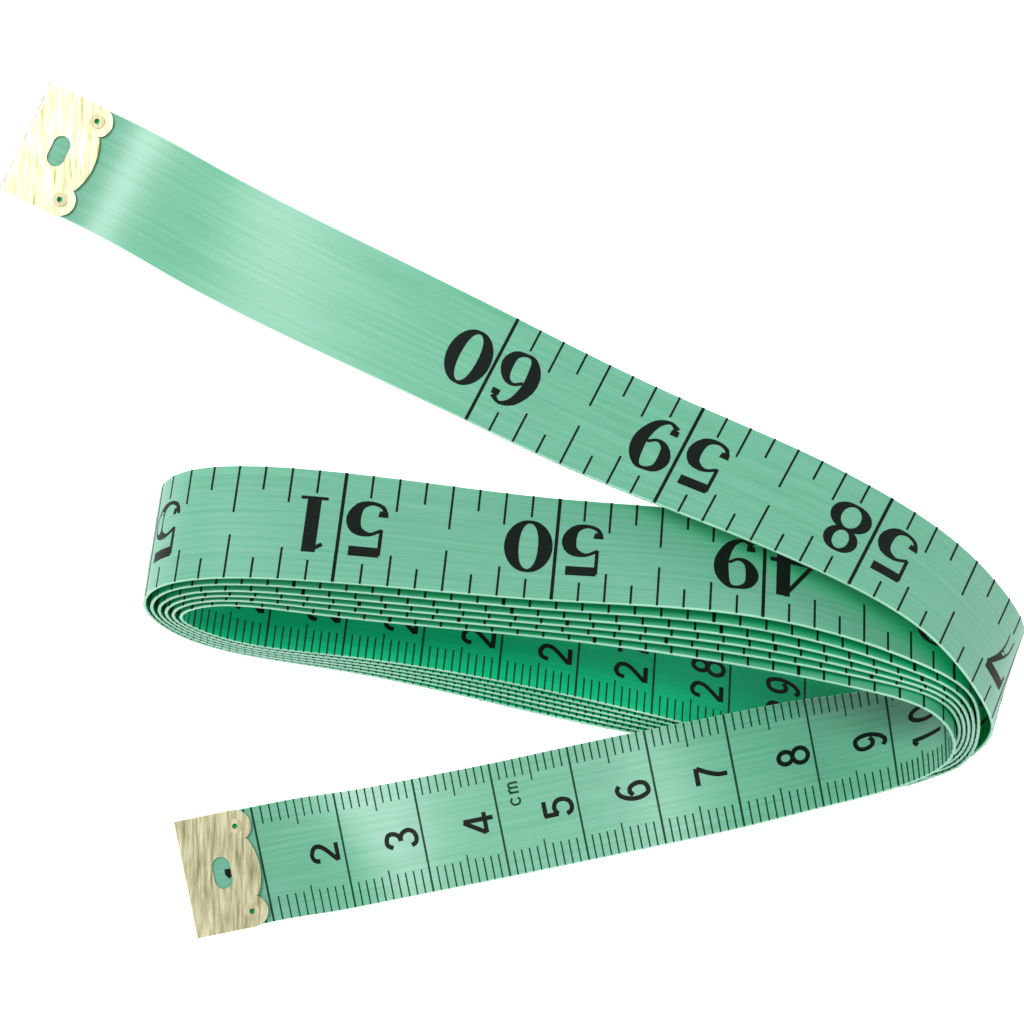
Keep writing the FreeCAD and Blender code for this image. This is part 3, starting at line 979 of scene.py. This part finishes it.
# %% Clips
CORNER_EASE = 0.06
EASED_ANGLE = 40.0       # corners sharper than this are eased, degrees
METALS = {"tip_clip": clip_metal, "tip_eyelet_left": eyelet_metal, "tip_eyelet_right": eyelet_metal}
for end_name in ("metric", "inch"):
    for part_name, finish in METALS.items():
        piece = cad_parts[end_name + "_" + part_name]
        piece.data.materials.clear()
        piece.data.materials.append(finish)
        easing = piece.modifiers.new("eased_corners", "BEVEL")
        easing.width = CORNER_EASE * MM
        easing.segments = 2
        easing.limit_method = "ANGLE"
        easing.angle_limit = math.radians(EASED_ANGLE)
print("metal pieces", 2 * len(METALS))

# %% [markdown]
# ## What the ribbon replaces
# The band's CAD solids aren't shown. Each stretch that rides on one body stands for
# that body's three layers, which stay in the simulation for collision and mass.

# %% Replaced nodes
LAYERS = ("core", "inch_coat", "metric_coat")
for body in ("metric_leg_far", "metric_leg_near", "coil", "inch_leg_near", "inch_leg_far"):
    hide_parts(*[body + "_" + layer for layer in LAYERS])

# %% [markdown]
# ## Surface
# The tape lies on plain white card. Plain card would come out grey beside the lit
# vinyl, so it gives off a little light of its own, which also keeps shadows faint.

# %% Floor
FLOOR_SIZE = 3.0
FLOOR_GLOW = 0.6


def plane(name, size, height, material):
    """A square at some height, in metres."""
    mesh = bpy.data.meshes.new(name)
    s = size / 2
    corners = [(-s, -s, height), (s, -s, height), (s, s, height), (-s, s, height)]
    mesh.from_pydata(corners, [], [(0, 1, 2, 3)])
    mesh.materials.append(material)
    made = bpy.data.objects.new(name, mesh)
    bpy.context.scene.collection.objects.link(made)
    return made


floor_white = new_material("white_card")
card = node(
    floor_white, "ShaderNodeBsdfPrincipled",
    {"Base Color": colour("#F8F8F8"), "Roughness": 0.9, "Specular IOR Level": 0.1,
     "Emission Color": colour("#FFFFFF"), "Emission Strength": FLOOR_GLOW},
)
finish_material(floor_white, card.outputs[0])
floor = plane("floor", FLOOR_SIZE, 0.0, floor_white)

# %% [markdown]
# ## Light
# A soft surround lights the band evenly, as a light tent would. One disk lamp high
# on the left adds the broad glare on the free ends, and a weak one on the right
# keeps the coil's dark side open. A single bare lamp would leave hard shadows.

# %% Light
WORLD_STRENGTH = 0.9
world = bpy.data.worlds.new("studio")
bpy.context.scene.world = world
world.use_nodes = True
world.node_tree.nodes["Background"].inputs["Color"].default_value = colour("#FFFFFF")
world.node_tree.nodes["Background"].inputs["Strength"].default_value = WORLD_STRENGTH


def area_light(name, place, aim, size, power):
    """A disk lamp at a place, turned towards another, in metres and watts."""
    lamp = bpy.data.lights.new(name, "AREA")
    lamp.shape = "DISK"
    lamp.size = size
    lamp.energy = power
    made = bpy.data.objects.new(name, lamp)
    made.location = place
    made.rotation_euler = (Vector(aim) - Vector(place)).to_track_quat("-Z", "Y").to_euler()
    bpy.context.scene.collection.objects.link(made)
    return made


area_light("key", (-0.45, 0.35, 0.75), (0, 0, 0), 0.40, 9.0)
area_light("fill", (0.55, -0.15, 0.60), (0, 0, 0), 0.50, 2.0)

# %% [markdown]
# ## Camera
# The tape is seen from straight above, from not far away, so parts that stand
# higher look a little larger. Height and lens together set how strong that is.
# The Standard view transform keeps a clean green that a filmic one would grey.

# %% Camera
bpy.context.scene.view_settings.view_transform = "Standard"
CAMERA_HEIGHT = 385.2
LENS_FACTOR = 3000 / 1024        # the lens's length, in sensor widths
SENSOR_WIDTH = 36.0
camera_data = bpy.data.cameras.new("camera")
camera_data.sensor_width = SENSOR_WIDTH
camera_data.lens = SENSOR_WIDTH * LENS_FACTOR
camera_data.clip_start = 0.01
camera = bpy.data.objects.new("camera", camera_data)
camera.location = tuple((SHIFT + np.array((0, 0, CAMERA_HEIGHT))) * MM)
bpy.context.scene.collection.objects.link(camera)
bpy.context.scene.camera = camera
